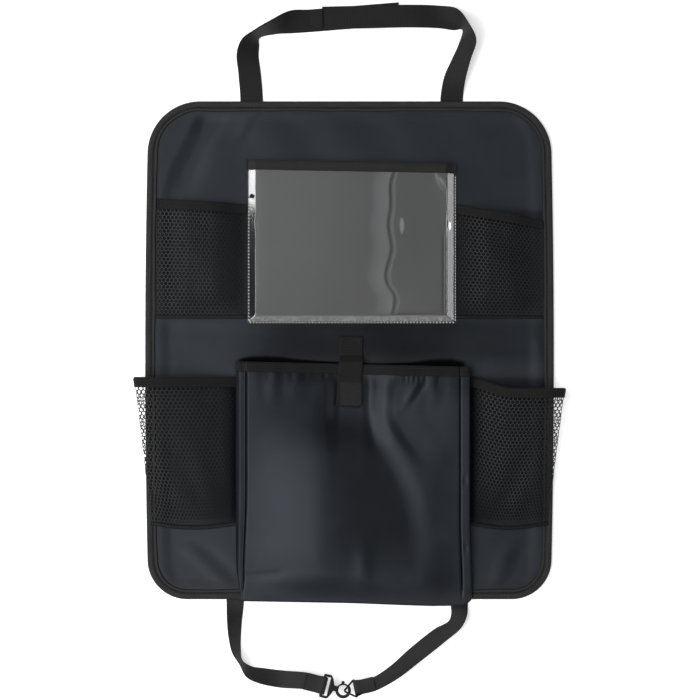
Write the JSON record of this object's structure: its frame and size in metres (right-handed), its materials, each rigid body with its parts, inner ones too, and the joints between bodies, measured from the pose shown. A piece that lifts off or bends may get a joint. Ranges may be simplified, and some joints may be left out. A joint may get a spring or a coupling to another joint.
{
  "type": "car seat back organizer",
  "caption": "Cloth panel that hangs on a seat back, with a clear tablet pocket, net pockets, a gusseted pocket and two straps.",
  "frame": {"origin": "middle of the base, with the panel lying on its back", "axes": "+X across the panel to the right, +Y towards the headrest strap, +Z out of the pockets' side"},
  "size_m": [0.4702, 0.7652, 0.024],
  "materials": {
    "panel_cloth": "matt woven or knitted polyester",
    "binding_tape": "matt woven or knitted polyester",
    "webbing": "matt woven or knitted polyester",
    "net": "matt woven or knitted polyester",
    "hook_tape": "matt woven or knitted polyester",
    "clear_film": "glossy clear film",
    "moulded_plastic": "satin black moulding"
  },
  "bodies": {
    "root": {"back_panel": "panel_cloth", "edge_binding": "binding_tape", "window_film": "clear_film", "window_binding": "binding_tape", "upper_net_left": "net", "upper_net_hem_left": "binding_tape", "lower_net_left": "net", "lower_net_hem_left": "binding_tape", "upper_net_right": "net", "upper_net_hem_right": "binding_tape", "lower_net_right": "net", "lower_net_hem_right": "binding_tape", "main_pocket": "panel_cloth", "main_pocket_binding": "binding_tape", "closure_loop_patch": "hook_tape", "closure_hook_patch": "hook_tape", "closure_strap": "webbing", "headrest_strap_left": "webbing", "headrest_hook_patch": "hook_tape", "headrest_loop_patch": "hook_tape", "headrest_strap_right": "webbing", "seat_strap_left": "webbing", "seat_strap_right": "webbing", "snap_hook": "moulded_plastic", "strap_ring": "moulded_plastic"}
  },
  "joints": []
}
